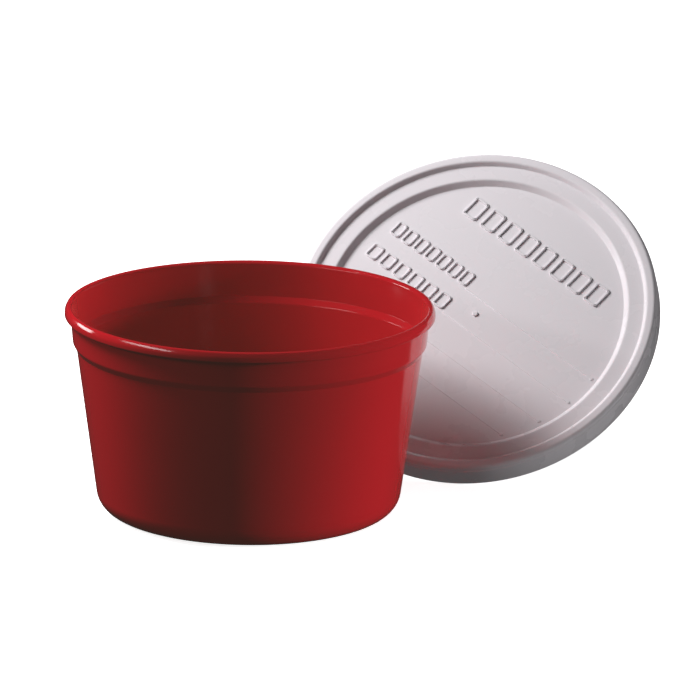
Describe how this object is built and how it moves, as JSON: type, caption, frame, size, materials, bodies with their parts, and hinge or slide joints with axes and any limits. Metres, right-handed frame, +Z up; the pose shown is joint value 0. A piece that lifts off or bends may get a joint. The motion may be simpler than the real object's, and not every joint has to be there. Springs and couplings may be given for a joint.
{
  "type": "specimen container",
  "caption": "Round tapered plastic tub with a rolled rim and stacking step, and its press-on lid leaning open behind it.",
  "frame": {"origin": "centre of the tub's foot ring, on the plane it stands on", "axes": "+Z up along the tub's axis, +X to the side on which the lid stands, +Y towards the back; the lid leans back about an axis parallel to X"},
  "size_m": [0.1744, 0.1863, 0.0902],
  "materials": {
    "tub_plastic": "glossy deep red moulded polypropylene",
    "lid_plastic": "satin white moulded polyethylene"
  },
  "bodies": {
    "root": {"tub": "tub_plastic", "lid": "lid_plastic"}
  },
  "joints": []
}
